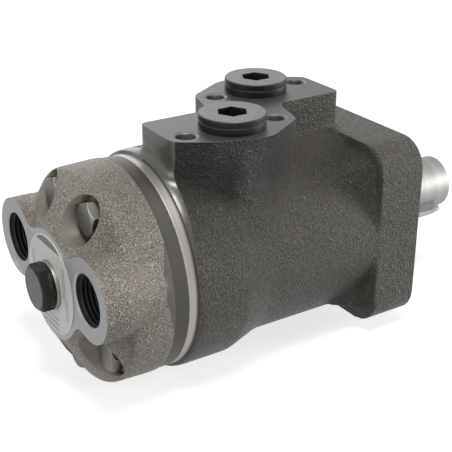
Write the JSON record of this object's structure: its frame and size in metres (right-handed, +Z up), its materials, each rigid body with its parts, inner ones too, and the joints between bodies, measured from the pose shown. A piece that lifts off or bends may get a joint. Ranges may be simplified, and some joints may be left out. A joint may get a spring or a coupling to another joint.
{
  "type": "orbital hydraulic motor",
  "caption": "Orbital gerotor hydraulic motor: cast housing with square flange, keyed shaft, plugged top port pad and an end cover with threaded ports.",
  "frame": {"origin": "centre of the four flange holes on the flange face, on the shaft axis", "axes": "+X along the shaft axis out of the shaft end, +Z up through the port pad"},
  "size_m": [0.2135, 0.1002, 0.111],
  "materials": {
    "dark_casting": "fine sand casting with a thin dark coat, machined faces",
    "light_casting": "bare sand casting, machined port face",
    "ground_steel": "ground and hardened",
    "key_steel": "drawn bright",
    "hardened_steel": "case hardened, dark",
    "polished_plate": "polished edge",
    "turned_ring": "turned, dark",
    "bolt_steel": "phosphated",
    "washer_brass": "yellow passivated",
    "cage_brass": "stamped",
    "black_oxide": "black oxide",
    "plug_steel": "turned, brownish",
    "disc_metal": "satin, printed with plain ruled lines",
    "seal_rubber": "nitrile rubber"
  },
  "bodies": {
    "motor_body": {"housing": "dark_casting", "dust_seal": "seal_rubber", "shaft_seal": "seal_rubber", "thrust_race_front": "ground_steel", "check_springs": "key_steel", "check_plugs": "key_steel", "spacer_plate": "polished_plate", "gear_ring": "turned_ring", "body_seals": "seal_rubber", "end_cover": "light_casting", "cover_bolts": "bolt_steel", "cover_washers": "washer_brass", "name_disc": "disc_metal", "drain_plug": "black_oxide", "drain_washer": "polished_plate", "port_plugs": "plug_steel", "plug_seals": "seal_rubber"},
    "shaft": {"output_shaft": "ground_steel", "shaft_key": "key_steel", "thrust_race_rear": "ground_steel"},
    "thrust_cage": {"bearing_cage": "cage_brass", "bearing_needles": "ground_steel"},
    "orbiting_spacer": {"drive_spacer": "hardened_steel"},
    "star": {"rotor_star": "ground_steel"},
    "cardan": {"cardan_shaft": "hardened_steel"},
    "left_check_ball": {"check_ball_left": "ground_steel"},
    "right_check_ball": {"check_ball_right": "ground_steel"}
  },
  "joints": [
    {"name": "shaft_turn", "type": "hinge", "parent": "motor_body", "child": "shaft", "pos_m": [0, 0, 0], "axis": [1, 0, 0], "continuous": true},
    {"name": "cage_turn", "type": "hinge", "parent": "motor_body", "child": "thrust_cage", "pos_m": [-0.0262, 0, 0], "axis": [1, 0, 0], "continuous": true},
    {"name": "rotor_orbit", "type": "hinge", "parent": "motor_body", "child": "orbiting_spacer", "pos_m": [-0.13, 0, 0], "axis": [1, 0, 0], "continuous": true},
    {"name": "star_spin", "type": "hinge", "parent": "orbiting_spacer", "child": "star", "pos_m": [-0.12265, 0, 0.003], "axis": [1, 0, 0], "continuous": true},
    {"name": "cardan_spin", "type": "hinge", "parent": "orbiting_spacer", "child": "cardan", "pos_m": [-0.055, 0, 0], "axis": [0.999, 0, -0.0443], "continuous": true},
    {"name": "left_ball_lift", "type": "slide", "parent": "motor_body", "child": "left_check_ball", "axis": [-1, 0, 0], "range_m": [0, 0.001], "stiffness_N_per_m": 200, "deforming": ["check_springs"]},
    {"name": "right_ball_lift", "type": "slide", "parent": "motor_body", "child": "right_check_ball", "axis": [-1, 0, 0], "range_m": [0, 0.001], "stiffness_N_per_m": 200, "deforming": ["check_springs"]}
  ],
  "couplings": [
    {"joint": "cage_turn", "follows": "shaft_turn", "ratio": 0.5},
    {"joint": "rotor_orbit", "follows": "shaft_turn", "ratio": -6},
    {"joint": "star_spin", "follows": "shaft_turn", "ratio": 7},
    {"joint": "cardan_spin", "follows": "shaft_turn", "ratio": 7}
  ]
}
